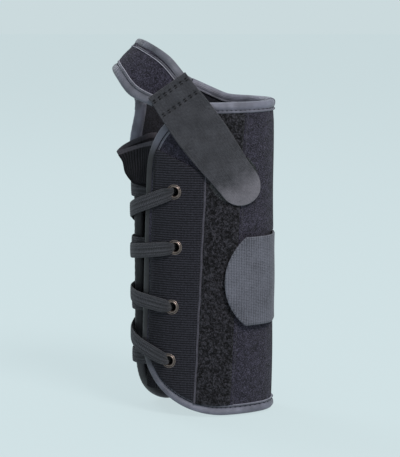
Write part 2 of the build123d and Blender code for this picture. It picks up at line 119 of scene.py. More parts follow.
def on_form(run, height, layer):
    """The place on the form, in the splint's frame. The palmar edge flares beside the tongue."""
    away = min(abs(run), half_run)
    if run > 0:
        near_edge = ease(run / palm_edge) * ease(1 - run / flare_end)
        layer += flare_out * near_edge * math.exp(-((height - flare_middle) / flare_tall) ** 2)
    if away < side_run:
        turn = math.pi - away / side_radius
        centre, radius = (-side_centre, 0), side_radius
    elif away < side_run + face_run:
        turn = math.pi - side_turn - (away - side_run) / face_radius
        centre, radius = (0, -face_centre), face_radius
    else:
        turn = side_turn - (away - side_run - face_run) / side_radius
        centre, radius = (side_centre, 0), side_radius
    x = centre[0] + (radius + layer) * math.cos(turn)
    y = centre[1] + (radius + layer) * math.sin(turn)
    return Vector((form_x + x, form_y + math.copysign(1, run) * y, height))


def face_run_at(x, palm=-1):
    """The run of a broad face's point, from its place across the form."""
    return palm * (half_run / 2 + math.asin(x / face_radius) * face_radius)


def ease(t):
    t = min(max(t, 0.0), 1.0)
    return t * t * (3 - 2 * t)


def blend_of(a, b, share):
    return a + (b - a) * share


def piece_of(name, mesh):
    """Turns a finished mesh into a piece with smooth shading."""
    data = bpy.data.meshes.new(name)
    mesh.to_mesh(data)
    mesh.free()
    data.shade_smooth()
    piece = bpy.data.objects.new(name, data)
    bpy.context.scene.collection.objects.link(piece)
    return piece


def cut_cloth(name, columns, rows, place, flat=None, thick=0.0, relief=None, closed=False, punched=()):
    """A flat cut of cloth, laid where it is sewn, raised by its relief and then given its thickness."""
    mesh = bmesh.new()
    bmesh.ops.create_grid(mesh, x_segments=columns, y_segments=rows, size=0.5)
    pattern = {v: (v.co.x + 0.5, v.co.y + 0.5) for v in mesh.verts}
    flat = flat or (lambda u, v: (u, v))
    if punched:
        spare = []
        for face in mesh.faces:
            x, y = face.calc_center_median().xy
            middle = Vector(flat(x + 0.5, y + 0.5))
            if any((middle - Vector(hole)).length < punch for hole in punched):
                spare.append(face)
        bmesh.ops.delete(mesh, geom=spare, context="FACES")
    uv = mesh.loops.layers.uv.new("flat")
    for face in mesh.faces:
        for loop in face.loops:
            loop[uv].uv = flat(*pattern[loop.vert])
    for v in mesh.verts:
        v.co = place(*pattern[v])
    if relief:
        mesh.normal_update()
        lifts = [(v, v.normal * relief(*pattern[v])) for v in mesh.verts]
        for v, lift in lifts:
            v.co += lift
    if closed:
        bmesh.ops.remove_doubles(mesh, verts=mesh.verts, dist=1e-6)
        bmesh.ops.holes_fill(mesh, edges=[e for e in mesh.edges if e.is_boundary], sides=0)
        bmesh.ops.recalc_face_normals(mesh, faces=mesh.faces)
    piece = piece_of(name, mesh)
    if thick:
        wall = piece.modifiers.new("thickness", "SOLIDIFY")
        wall.thickness = abs(thick)
        wall.offset = -math.copysign(1, thick)
    return piece


class Value:
    """A number that changes over a surface. Each sum that it is used in adds a Math node."""

    def __init__(self, finish, socket):
        self.finish = finish
        self.socket = socket

    def reckon(self, operation, *terms):
        return self.finish.node("Math", {"operation": operation}, dict(enumerate(terms)))

    def __add__(self, other):
        return self.reckon("ADD", self, other)

    def __sub__(self, other):
        return self.reckon("SUBTRACT", self, other)

    def __mul__(self, other):
        return self.reckon("MULTIPLY", self, other)

    def __radd__(self, other):
        return self.reckon("ADD", other, self)

    def __rsub__(self, other):
        return self.reckon("SUBTRACT", other, self)

    def __rmul__(self, other):
        return self.reckon("MULTIPLY", other, self)


class Finish:
    """One material: a Principled shader and the nodes that feed it."""

    def __init__(self, name, gloss=0.12, **fixed):
        self.material = bpy.data.materials.new(name)
        self.material.use_nodes = True
        self.tree = self.material.node_tree
        self.shader = self.tree.nodes["Principled BSDF"]
        self.shader.inputs["Specular IOR Level"].default_value = gloss
        self.feed(self.shader, fixed)

    def feed(self, node, values):
        for label, value in values.items():
            slot = node.inputs[label if isinstance(label, int) else label.replace("_", " ").title()]
            if isinstance(value, Value):
                self.tree.links.new(value.socket, slot)
            else:
                slot.default_value = value

    def node(self, kind, settings, values, output=0):
        made = self.tree.nodes.new("ShaderNode" + kind)
        for label, setting in settings.items():
            setattr(made, label, setting)
        self.feed(made, values)
        return Value(self, made.outputs[output])

    def place(self):
        return self.node("TexCoord", {}, {}, 3)

    def noise(self, size, detail=2.0, rough=0.5):
        return self.node("TexNoise", {}, {"vector": self.place(), "scale": 1 / size, "detail": detail,
                                          "roughness": rough})

    def flat(self):
        spot = self.node("UVMap", {"uv_map": "flat"}, {})
        across = self.node("SeparateXYZ", {}, {0: spot})
        return across, self.node("SeparateXYZ", {}, {0: spot}, 1)

    def wave(self, value, pitch):
        return value.reckon("SINE", value * (2 * math.pi / pitch))

    def over(self, value, low_level, high_level):
        return self.node("MapRange", {"interpolation_type": "SMOOTHSTEP"},
                         {0: value, 1: low_level, 2: high_level})

    def mix(self, share, first, second):
        return self.node("Mix", {"data_type": "RGBA"}, {0: share, 6: first, 7: second}, 2)

    def look(self, colour, relief, deep, **others):
        bump = self.node("Bump", {}, {"height": relief, "distance": deep, "strength": 1.0})
        self.feed(self.shader, {"base color": colour, "normal": bump, **others})
        return self


def linear_colour(red, green, blue, depth=1.0):
    """A colour read off a colour card, from 0 to 255, with its depth changed by a factor. It also gives the
    painted shade and painted highlight colours.
    """
    def linear(level):
        level = level / 255
        return level / 12.92 if level < 0.04045 else ((level + 0.055) / 1.055) ** 2.4
    return tuple(linear(level) * depth for level in (red, green, blue)) + (1.0,)


def dressed(piece, finish, slot, *nodes):
    """Gives a piece its finish and hides the plain solids that it stands for. The slot argument is not
    used.
    """
    piece.data.materials.clear()
    piece.data.materials.append(finish.material)
    if nodes:
        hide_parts(*nodes)
    return piece


def brushed_fleece(name, ground, fibre):
    """Unbroken loop laminate: a brushed nap with flecks of lighter fibre tips."""
    cloth = Finish(name, roughness=0.95, sheen_weight=0.06, sheen_roughness=0.5)
    nap = cloth.noise(0.0010, 4.0, 0.75)
    tuft = cloth.noise(0.0040, 3.0, 0.6)
    fleck = cloth.noise(0.0005, 2.0, 0.7)
    speck = cloth.over(cloth.noise(0.0008, 1.0, 0.4) * 0.7 + nap * 0.3, 0.60, 0.70)
    shade = cloth.over(nap * 0.5 + tuft * 0.2 + fleck * 0.4, 0.44, 0.74)
    bright = tuple(min(level * 1.9, 1.0) for level in fibre)
    colour = cloth.mix(speck * 0.55, cloth.mix(shade, ground, fibre), bright)
    return cloth.look(colour, nap * 0.6 + fleck * 0.6 + tuft * 0.4, 0.0010)


def dorsal_edge(height):
    """Run of the dorsal half's lacing edge at a height."""
    return blend_of(edge_foot, edge_head, height / splint_height)


def palmar_edge(height):
    """Run of the palmar half's lacing edge, which leans away from the thumb near the rim."""
    return palm_edge + palm_lean * ease((height - lean_start) / (splint_height - lean_start))


def quarter(inward, corner):
    """How far a rounded corner has drawn a level edge in, at a distance from the upright edge."""
    share = min(max(inward, 0.0) / corner[0], 1.0)
    return corner[1] * (1 - math.sqrt(1 - (1 - share) ** 2))


def dorsal_extent(inward):
    return quarter(inward, hem_corner), splint_height - quarter(inward, rim_corner)


def ear_top(run):
    """Height of the palmar half's rim: it climbs towards the thumb band and falls beside it."""
    before = ear_start - max(run, ear_end)
    rise = ear_slope * (before + math.hypot(before, ear_round)) / 2
    return splint_height + rise - ear_drop * max(ear_end - run, 0.0) / (ear_end - palm_edge)


def palmar_run(inward, height):
    start = palmar_edge(height)
    return start + inward * (half_run - start) / (half_run - palm_edge)


def palmar_extent(inward):
    return quarter(inward, palm_corner), ear_top(palm_edge + inward)


def wrap_flat(palm, inset, crowd=1.7):
    """Flat pattern of one half, drawn in from its outline, its columns crowded where corners curve."""
    def flat(u, v):
        edge = palm_edge if palm > 0 else -edge_head
        inward = blend_of(inset, half_run - edge, u**crowd)
        floor, top = palmar_extent(inward) if palm > 0 else dorsal_extent(inward)
        height = blend_of(floor + inset, top - inset, v)
        if palm > 0:
            return palmar_run(inward, height), height
        start = dorsal_edge(height)
        return start - inward * (half_run + start) / (half_run - edge), height
    return flat


def pressed(run, height):
    """How far the pull strap presses into the wrap on the palm and round the little finger's side."""
    across = ease((run - 0.043) / 0.004) if run > 0 else ease((-run - 0.094) / 0.013)
    over_low = ease((height - pull_low + press_margin) / press_fade)
    return across * over_low * ease((pull_high + press_margin - height) / press_fade)


def wrap_half(name, palm, layer, inset, columns, rows, thick, crown=0.0):
    """One half's cloth at a layer, with the quilted swell that stitched edges give it."""
    flat = wrap_flat(palm, inset)

    def place(u, v):
        run, height = flat(u, v)
        swell = ease(u * 7) * ease(min(v, 1 - v) * 14)
        swell *= 0.55 + 0.45 * math.sin(run * 95 + height * 31) * math.sin(height * 57 - run * 40)
        return on_form(run, height, layer + crown * swell - pressed(run, height) * crown * 2)

    return cut_cloth(name, columns, rows, place, flat, thick * (-palm), punched=holes[palm])


def ride_palm(piece):
    """Bakes a palmar piece's placement into its mesh."""
    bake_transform(piece)


def ride_half(piece, palm):
    if palm > 0:
        ride_palm(piece)
    else:
        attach(piece, "dorsal")


halves = ((-1, "dorsal"), (1, "palmar"))
holes = {-1: [(face_run_at(x), z) for x, z in zip(eyelet_x, eyelet_z)],
         1: [(palm_eyelet_run, z - palm_eyelet_drop) for z in eyelet_z]}
face_fleece = brushed_fleece("fleece_face", linear_colour(19, 17, 24), linear_colour(72, 68, 84))
for palm, half in halves:
    shell = wrap_half(half + "_shell", palm, 0.0, panel_inset, 100, 190, shell_thick, quilt_swell)
    dressed(shell, face_fleece, "fleece_face", half + "_panel")
    ride_half(shell, palm)


# Linings. A thin brushed knit faces the skin on both halves. It is cut a little smaller than the panel,
# so that the binding tape covers its edge.
lining_layer = -shell_thick - 0.0001
lining_inset = 0.0022
lining_thick = 0.0007
lining_knit = brushed_fleece("lining_knit", linear_colour(16, 15, 19), linear_colour(48, 47, 57))
for palm, half in halves:
    knit = wrap_half(half + "_knit", palm, lining_layer, lining_inset, 60, 120, lining_thick)
    dressed(knit, lining_knit, "lining_knit", half + "_lining")
    ride_half(knit, palm)


# Edge bindings. Satin knit tape is folded over the edges of panel and lining and stitched through near
# its inner edge, so it swells over the edge, dips at the stitches and ends in a thin pale selvedge.
tape_profile = [
    (0.0054, -0.00400), (0.0048, -0.00420), (0.0042, -0.0040), (0.0030, -0.0043), (0.0014, -0.0040),
    (0.0006, -0.0028), (0.0005, -0.0014), (0.0006, -0.0002), (0.0012, 0.0007), (0.0024, 0.0010),
    (0.0038, 0.0009), (0.0049, 0.00045), (0.0055, 0.0001), (0.0059, 0.0002), (0.0063, 0.00075),
    (0.0067, 0.00085), (0.0071, 0.0006), (0.0073, 0.0),
]
tape_thick = 0.0004
tape_girth = 0.020
selvedge_start = 0.0182
pucker_pitch = 0.0022
seam_deep = 0.0055
seam_layer = 0.00035
hem_share = 0.36
rim_share = 0.64
end_crowd = 2.2


def through(points, t):
    """A smooth line through a few points, at a share of its way."""
    place = min(max(t, 0.0), 1.0) * (len(points) - 1)
    i = min(int(place), len(points) - 2)
    f = place - i
    p1, p2 = Vector(points[i]), Vector(points[i + 1])
    p0 = Vector(points[i - 1]) if i else p1 * 2 - p2
    p3 = Vector(points[i + 2]) if i + 2 < len(points) else p2 * 2 - p1
    return p1 + ((p2 - p0) * f + (p0 * 2 - p1 * 5 + p2 * 4 - p3) * f**2
                 + (p1 * 3 - p2 * 3 + p3 - p0) * f**3) * 0.5


def dorsal_outline(t):
    """The dorsal half's edge, from the seam along the hem, up the lacing edge and back along the rim."""
    width = half_run + edge_head
    if t < hem_share:
        inward = width * (1 - t / hem_share) ** end_crowd
        height = dorsal_extent(inward)[0]
    elif t < rim_share:
        inward = 0.0
        share = (t - hem_share) / (rim_share - hem_share)
        height = blend_of(hem_corner[1], splint_height - rim_corner[1], share)
    else:
        inward = width * ((t - rim_share) / (1 - rim_share)) ** end_crowd
        height = dorsal_extent(inward)[1]
    edge = dorsal_edge(height)
    return Vector((edge - inward * (half_run + edge) / width, height))


def palmar_outline(t):
    """The palmar half's edge, from the seam along the hem and up to the thumb band's seam."""
    if t < 0.5:
        inward = (half_run - palm_edge) * (1 - t / 0.5) ** end_crowd
        return Vector((palm_edge + inward, palmar_extent(inward)[0]))
    height = blend_of(palm_corner[1], ear_top(palm_edge), (t - 0.5) / 0.5)
    return Vector((palmar_edge(height), height))


def palmar_rim(t):
    """The palmar half's rim, from the thumb band's seam to the little finger's side."""
    run = blend_of(ear_end, half_run, t)
    height = ear_top(run)
    return Vector((palmar_run(run - palm_edge, height), height))


def beside(outline, t, deep, side):
    """A flat place inwards of an outline."""
    step = outline(min(t + 0.004, 1.0)) - outline(max(t - 0.004, 0.0))
    step.normalize()
    return outline(t) + Vector((-step.y, step.x)) * side * deep


def tape_cut(name, steps, place):
    """Binding tape, from a place that takes a share of the way, a depth inwards and a layer."""
    def laid(u, v):
        deep, layer = through(tape_profile, u)
        pucker = 1 + 0.09 * math.sin(v * steps * 1.9) * ease(layer / 0.0005)
        return place(v, deep, layer * pucker)

    def flat(u, v):
        return u * tape_girth, v * steps * pucker_pitch

    return cut_cloth(name, 40, steps, laid, flat, tape_thick)


def satin_tape(name, ground, light, edge_light, painted_shade=None):
    """Warp-knit tape: fine lengthwise ribs, a soft shine and a paler selvedge, with painted shade along a
    stretch.
    """
    cloth = Finish(name, gloss=0.45, sheen_weight=0.10, sheen_roughness=0.35)
    across, along = cloth.flat()
    rib = cloth.wave(across, 0.00055)
    cloud = cloth.noise(0.009, 2.0, 0.5)
    shade = cloth.over(rib * 0.10 + cloth.wave(along, 0.0008) * 0.06 + cloud * 0.6, 0.0, 0.62)
    selvedge = cloth.over(across, selvedge_start, selvedge_start + 0.0006)
    colour = cloth.mix(shade, ground, light)
    # Painted shade: along the given stretch the tape and its selvedge are mixed towards darker colours.
    if painted_shade:
        start, stop, deep = painted_shade
        entered = cloth.over(along, start - 0.05, start + 0.03)
        stretch = entered - cloth.over(along, stop - 0.02, stop + 0.04)
        colour = cloth.mix(stretch, colour, cloth.mix(shade, linear_colour(15, 14, 17), deep))
        edge_light = cloth.mix(stretch, edge_light, linear_colour(66, 64, 72))
    colour = cloth.mix(selvedge, colour, edge_light)
    return cloth.look(colour, rib * 0.5 + cloud * 0.6, 0.00012, roughness=0.62 - cloud * 0.22)


def stitches(name, spots, finish, slot, long=0.0015, thick=0.00042):
    """A row of thread stitches, each lying at a place along a direction."""
    mesh = bmesh.new()
    for spot, way in spots:
        size = Matrix.Diagonal((long / 2, thick / 2, thick / 2, 1))
        turn = way.to_track_quat("X", "Z").to_matrix().to_4x4()
        bmesh.ops.create_icosphere(mesh, subdivisions=1, radius=1,
                                   matrix=Matrix.Translation(spot) @ turn @ size)
    return dressed(piece_of(name, mesh), finish, slot)


def seam_spots(place, length, pitch=0.0024):
    """Places and directions of evenly pitched stitches along a line given by shares of its way."""
    count = int(length / pitch)
    spots = []
    for i in range(count):
        t = (i + 0.5) / count
        way = place(min(t + 0.001, 1)) - place(max(t - 0.001, 0))
        spots.append((place(t), way.normalized()))
    return spots


def bound_edge(name, outline, side, steps, finish, *nodes):
    """Tape folded over a stretch of a half's edge, with its row of stitches."""
    def place(t, deep, layer):
        run, height = beside(outline, t, deep, side)
        return on_form(run, height, layer)

    tape = dressed(tape_cut(name, steps, place), finish, "binding_tape", *nodes)
    length = sum((outline((i + 1) / 200) - outline(i / 200)).length for i in range(200))
    thread = stitches(name + "_stitches", seam_spots(lambda t: place(t, seam_deep, seam_layer), length),
                      dark_thread, "binding_tape")
    return tape, thread


dark_thread = Finish("dark_thread", roughness=0.8)
strand = dark_thread.noise(0.0004)
dark_thread.look(dark_thread.mix(strand, linear_colour(12, 12, 16), linear_colour(40, 40, 48)), strand, 0.0001)
edge_dyes = (linear_colour(58, 57, 66), linear_colour(118, 117, 133), linear_colour(134, 133, 148))
# The stretch along each half's lacing edge is darkened with painted shade.
dorsal_binding = satin_tape("dorsal_binding_tape", *edge_dyes, painted_shade=(0.18, 0.47, linear_colour(36, 34, 40)))
palmar_binding = satin_tape("palmar_binding_tape", *edge_dyes, painted_shade=(0.10, 0.40, linear_colour(40, 38, 45)))
edge_tape = satin_tape("binding_tape", *edge_dyes)
for cloth in bound_edge("dorsal_tape", dorsal_outline, 1, 300, dorsal_binding, "dorsal_edge_binding"):
    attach(cloth, "dorsal")
for cloth in bound_edge("palmar_tape", palmar_outline, -1, 220, palmar_binding, "palmar_edge_binding"):
    ride_palm(cloth)
for cloth in bound_edge("palmar_rim_tape", palmar_rim, -1, 90, edge_tape):
    ride_palm(cloth)


# Plackets. Stretch webbing with fine level ribs, sewn over the lacing edges to carry the eyelets. The
# dorsal one ends in a slanting seam at its head and under the welt at its right.
placket_layer = 0.0008
placket_thick = 0.0007
placket_margin = 0.0069
welt_head = (0.0006, 0.1585)
welt_foot_x = -0.0072
placket_slope = -0.50
placket_seam_drop = 0.003
placket_head_length = 0.036
rib_pitch = 0.0015
rib_deep = 0.00012
palm_placket_end = -0.0170
palm_placket_head = 0.172


def welt_x(height):
    return welt_foot_x + (welt_head[0] - welt_foot_x) * height / welt_head[1]


def placket_top(x):
    return welt_head[1] - placket_seam_drop + placket_slope * (x - welt_head[0])


def dorsal_placket_flat(u, v):
    """The placket's flat pattern: from beside the tape to the welt, and up to its slanting head."""
    height = 0.1
    for _ in range(3):
        start = dorsal_edge(height) - placket_margin
        run = blend_of(start, face_run_at(welt_x(height)), u)
        inward = dorsal_edge(height) - run
        x = face_radius * math.sin((-run - half_run / 2) / face_radius)
        floor, top = dorsal_extent(inward - placket_margin * 0.45)
        height = blend_of(floor + placket_margin, min(placket_top(x), top - placket_margin), v)
    return run, height


def palm_placket_flat(u, v):
    inward = blend_of(placket_margin, face_run_at(palm_placket_end, 1) - palm_edge, u)
    floor = palmar_extent(inward - placket_margin * 0.4)[0] + placket_margin
    return palm_edge + inward, blend_of(floor, palm_placket_head, v)


def ribbed(flat):
    """Lays a flat pattern on the form with level ribs, thinning to its sewn margins."""
    def place(u, v):
        run, height = flat(u, v)
        margin = ease(min(u, 1 - u) * 22) * ease(min(v, 1 - v) * 60)
        rib = rib_deep * math.sin(height * 2 * math.pi / rib_pitch)
        return on_form(run, height, placket_layer * (0.55 + 0.45 * margin) + rib)
    return place


placket_webbing = Finish("placket_webbing", roughness=0.9, sheen_weight=0.04)
across, along = placket_webbing.flat()
picks = placket_webbing.wave(along, rib_pitch / 2) * 0.5 + placket_webbing.wave(across, 0.0009) * 0.5
yarn = placket_webbing.noise(0.0007, 3.0, 0.7)
levels = placket_webbing.wave(along, rib_pitch)
shade = placket_webbing.over(picks * 0.15 + levels * 0.18 + yarn, 0.35, 0.85)
placket_webbing.look(placket_webbing.mix(shade, linear_colour(15, 14, 18), linear_colour(50, 49, 57)),
                     picks * 0.4 + yarn, 0.0004)
for palm, half, flat, columns, rows in ((-1, "dorsal", dorsal_placket_flat, 60, 640),
                                        (1, "palmar", palm_placket_flat, 50, 560)):
    placket = cut_cloth(half + "_placket", columns, rows, ribbed(flat), flat, placket_thick * palm,
                        punched=holes[palm])
    dressed(placket, placket_webbing, "placket_webbing", half + "_lace_placket")
    ride_half(placket, palm)


def placket_head(t):
    run, height = dorsal_placket_flat(blend_of(0.03, 0.99, t), 1.0)
    return on_form(run, height - 0.0016, placket_layer)


placket_thread = stitches("placket_head_stitches", seam_spots(placket_head, placket_head_length),
                          dark_thread, "binding_tape")
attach(placket_thread, "dorsal")


# Welt. A cord in folded tape closes the seam between the placket and the loop strip. It is sewn in
# along its whole length, so it wavers a little.
welt_radius = 0.00075
welt_lift = 0.0007
welt_half = 0.0007
welt_foot = 0.0085


def welt_place(u, v):
    height = blend_of(welt_foot, welt_head[1], v)
    run = face_run_at(welt_x(height) + welt_half)
    turn = 2 * math.pi * u
    wobble = 0.00012 * math.sin(height * 310) + 0.0001 * math.sin(height * 130)
    return on_form(run + wobble + welt_radius * math.cos(turn), height,
                   welt_lift + welt_radius * math.sin(turn))


welt_cord = Finish("welt_cord", roughness=0.75, sheen_weight=0.1)
across, along = welt_cord.flat()
twist = welt_cord.wave(along * 0.16 + across * 0.002, 0.0006)
welt_cord.look(welt_cord.mix(welt_cord.over(twist + welt_cord.noise(0.003) * 2, 0.2, 2.0),
                             linear_colour(40, 38, 45), linear_colour(92, 89, 100)), twist, 0.0001)
welt = cut_cloth("welt", 12, 240, welt_place, closed=True)
dressed(welt, welt_cord, "welt_cord", "placket_welt")
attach(welt, "dorsal")


# Loop strip. Coarse black curled pile, the landing for both straps' hooks, with a soft raised ridge
# where the fleece is folded back along its right side.
loop_edge_head = 0.0255
loop_edge_foot = 0.0160
loop_foot = 0.0045
loop_beside_welt = 0.0012
loop_thick = 0.0006
tape_reach = 0.0074
pile_size = 0.0042
ridge_reach = (-0.0013, 0.0026)
ridge_height = 0.0015


def loop_edge(height):
    return blend_of(loop_edge_foot, loop_edge_head, height / splint_height)


def loop_flat(u, v):
    height = blend_of(loop_foot, splint_height - tape_reach, v)
    left = welt_x(min(height, welt_head[1])) + loop_beside_welt
    if height > welt_head[1]:
        left += (height - welt_head[1]) * 0.05
    x = blend_of(left, loop_edge(height), u)
    hem = dorsal_extent(dorsal_edge(height) - face_run_at(x))[0]
    return face_run_at(x), max(height, hem + tape_reach + 0.0002)


def curl(run, height, size):
    """Uneven curls of pile, from a few crossed waves."""
    a, b = run / size, height / size
    return (math.sin(a * 5.1 + 2.3 * math.sin(b * 2.9)) * math.sin(b * 4.7 + 2.1 * math.sin(a * 3.3))
            + 0.6 * math.sin(a * 11.3 + b * 3.1) * math.sin(b * 9.7 - a * 5.2))


def loop_place(u, v):
    run, height = loop_flat(u, v)
    margin = ease(min(u, 1 - u) * 14) * ease(min(v, 1 - v) * 40)
    return on_form(run, height, 0.0002 + margin * (0.0008 + 0.00030 * curl(run, height, pile_size)))


loop_pile = Finish("loop_pile", roughness=1.0, sheen_weight=0.03)
curls = loop_pile.noise(0.0019, 4.0, 0.7)
strands = loop_pile.noise(0.0006, 2.0, 0.6)
loop_pile.look(loop_pile.mix(loop_pile.over(curls * 0.75 + strands * 0.35, 0.46, 0.72), linear_colour(12, 11, 13),
                             linear_colour(64, 62, 69)), curls + strands * 0.4, 0.0020)
loop_strip = cut_cloth("loop_strip", 90, 560, loop_place, loop_flat, -loop_thick)
dressed(loop_strip, loop_pile, "loop_pile", "dorsal_loop_strip")
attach(loop_strip, "dorsal")


def ridge_flat(u, v):
    height = blend_of(tape_reach, splint_height - tape_reach + 0.0002, v)
    return face_run_at(loop_edge(height) + blend_of(*ridge_reach, u)), height


def ridge_place(u, v):
    run, height = ridge_flat(u, v)
    round_top = math.sin(math.pi * u) ** 0.7
    uneven = 0.85 + 0.15 * math.sin(height * 190) * math.sin(height * 77)
    return on_form(run, height, -0.0003 + ridge_height * round_top * uneven)


ridge = dressed(cut_cloth("fleece_ridge", 16, 200, ridge_place, ridge_flat), face_fleece, "fleece_face")
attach(ridge, "dorsal")


# Eyelets. Rolled bronze rings, set through placket and panel, with washers turned over on the lining.
ring_profile = [
    (0.00270, -0.0052), (0.00268, -0.0004), (0.00275, 0.0004), (0.00300, 0.00085), (0.00330, 0.00105),
    (0.00362, 0.00092), (0.00385, 0.00062), (0.00398, 0.00050), (0.00415, 0.00066), (0.00440, 0.00086),
    (0.00465, 0.00078), (0.00490, 0.00020), (0.00482, -0.0001),
]
ring_wall = 0.00025


def eyelet_row(name, spots, node):
    """One half's rings, each a profile spun about its hole."""
    mesh = bmesh.new()
    for run, height in spots:
        spot = on_form(run, height, placket_layer)
        out = (on_form(run, height, 0.01) - spot).normalized()
        side = Vector((0, 0, 1)).cross(out)
        line = [mesh.verts.new(spot + side * radius + out * layer) for radius, layer in ring_profile]
        edges = [mesh.edges.new(pair) for pair in zip(line, line[1:])]
        bmesh.ops.spin(mesh, geom=line + edges, cent=spot, axis=out, angle=2 * math.pi, steps=48,
                       use_merge=True)
    bmesh.ops.recalc_face_normals(mesh, faces=mesh.faces)
    row = piece_of(name, mesh)
    wall = row.modifiers.new("thickness", "SOLIDIFY")
    wall.thickness = ring_wall
    return dressed(row, bronze, "eyelet_bronze", node)


bronze = Finish("eyelet_bronze", gloss=0.5, metallic=1.0)
tarnish = bronze.noise(0.0021, 3.0, 0.6)
scratch = bronze.noise(0.0006, 2.0, 0.6)
bronze.look(bronze.mix(tarnish, linear_colour(66, 58, 56), linear_colour(150, 134, 127)), scratch, 0.00004,
            roughness=0.30 + scratch * 0.22)
for palm, half in halves:
    rings = eyelet_row(half + "_rings", holes[palm], half + "_eyelets")
    ride_half(rings, palm)


# Stays, caps, pockets, washers and hooks keep the shape of their solids and get their finish: brushed
# aluminium, dipped vinyl ends, a brushed cloth, bronze and moulded hook tape.
def give_finish(finish, *nodes):
    for node in nodes:
        piece = bpy.data.objects[node]
        for slot in piece.material_slots:
            slot.material = finish.material


washer_bronze = Finish("washer_bronze", gloss=0.5, metallic=1.0)
dulled = washer_bronze.noise(0.002, 3.0, 0.6)
washer_bronze.look(washer_bronze.mix(dulled, linear_colour(48, 40, 36), linear_colour(122, 104, 92)), dulled, 0.00005,
                   roughness=0.3 + dulled * 0.25)
give_finish(washer_bronze, "dorsal_eyelet_washers", "palmar_eyelet_washers")
stay_metal = Finish("stay_metal", gloss=0.5, metallic=1.0)
drawn = stay_metal.node("Mapping", {}, {"vector": stay_metal.place(), "scale": (1, 1, 0.04)})
grain = stay_metal.node("TexNoise", {}, {"vector": drawn, "scale": 2600.0, "detail": 3.0})
stay_metal.look(stay_metal.mix(grain, linear_colour(140, 143, 148), linear_colour(196, 199, 204)), grain, 0.00003,
                roughness=0.28 + grain * 0.2)
give_finish(stay_metal, "dorsal_stay", "palmar_stay")
cap_vinyl = Finish("cap_vinyl", gloss=0.5, coat_weight=0.2)
haze = cap_vinyl.noise(0.004, 3.0, 0.6)
cap_vinyl.look(cap_vinyl.mix(haze, linear_colour(22, 22, 26), linear_colour(44, 44, 50)), haze, 0.0001,
               roughness=0.35 + haze * 0.25)
give_finish(cap_vinyl, "dorsal_stay_caps", "palmar_stay_caps")
pocket_cloth = brushed_fleece("pocket_cloth", linear_colour(26, 26, 31), linear_colour(60, 60, 70))
give_finish(pocket_cloth, "dorsal_stay_pocket", "palmar_stay_pocket")
hook_tape = Finish("hook_tape", gloss=0.4, roughness=0.5)
hooks = hook_tape.node("TexVoronoi", {}, {"vector": hook_tape.place(), "scale": 850.0})
stems = hook_tape.over(hooks, 0.28, 0.5)
hook_tape.look(hook_tape.mix(stems, linear_colour(58, 58, 64), linear_colour(16, 16, 19)), 1.0 - stems, 0.0006)
give_finish(hook_tape, "pull_strap_hook", "thumb_strap_hook")


# Tongue. One piece of ribbed knit behind the laces, sewn inside the dorsal half. Above the top lace it
# pouts out of the gap in a fold, and its doubled hem flares.
tongue_low = 0.014
tongue_waist = 0.1475
tongue_layer = -0.0068
tongue_runs = (-0.0440, 0.0235)
tongue_waist_line = [
    (-29.0, -16.2), (-34.2, -12.0), (-39.6, -8.6), (-44.2, -6.4), (-45.9, -4.6), (-45.0, -2.4),
    (-41.4, -0.4), (-38.0, 2.4), (-35.0, 7.0), (-30.5, 11.0),
]
tongue_hem_line = [
    (-27.0, -17.6, 175.2), (-33.0, -13.4, 174.2), (-38.5, -8.8, 172.4), (-47.5, -6.8, 169.4),
    (-55.2, -5.6, 166.6), (-52.2, -2.6, 169.8), (-45.6, -0.6, 173.4), (-38.3, 2.0, 176.2),
    (-35.0, 7.0, 177.0), (-30.5, 11.0, 177.0),
]
tongue_flare = (0.0, 0.24, 0.40, 0.48, 0.54, 0.66, 0.84, 1.0)
held_share = 0.55
doubled_hem = 0.945
tongue_thick = 0.0006
tongue_ribs = 40


def from_tube(x, y, z):
    """A place given in millimetres from the middle of the form's foot."""
    return Vector((form_x + x / 1000, form_y + y / 1000, z / 1000))


def tongue_place(u, v):
    """The tongue lies inside the form up to its waist, and flares from there to its hem."""
    if v < held_share:
        height = blend_of(tongue_low, tongue_waist, v / held_share)
        held = on_form(blend_of(*tongue_runs, u), height, tongue_layer)
        x, y = through(tongue_waist_line, u)
        rise = ease((height - tongue_waist) / 0.005 + 1)
        return held.lerp(from_tube(x, y, height * 1000), rise)
    share = (v - held_share) / (1 - held_share)
    x, y = through(tongue_waist_line, u)
    waist = from_tube(x, y, tongue_waist * 1000)
    hem = from_tube(*through(tongue_hem_line, u))
    flare = through([(reached, 0) for reached in tongue_flare], share)[0]
    spot = waist.lerp(hem, flare)
    spot.z = blend_of(waist.z, hem.z, share)
    fold = 0.0006 * math.sin(share * 9 + u * 17) * math.sin(math.pi * share)
    return spot + Vector((fold * 0.4, -fold, 0))


def tongue_relief(u, v):
    hem = ease((v - doubled_hem) / 0.02)
    rib = 0.00020 * math.sin(u * tongue_ribs * 2 * math.pi) * (1 - 0.7 * hem)
    return rib + 0.00045 * hem


tongue_knit = Finish("tongue_knit", roughness=0.95, sheen_weight=0.04)
across, along = tongue_knit.flat()
# Painted shade: the colour darkens in the valleys between the knit's ribs, lighter on their crests.
painted_valley_shade = tongue_knit.wave(across, 1 / tongue_ribs)
loops = tongue_knit.wave(along, 0.006)
fuzz = tongue_knit.noise(0.0008, 3.0, 0.7)
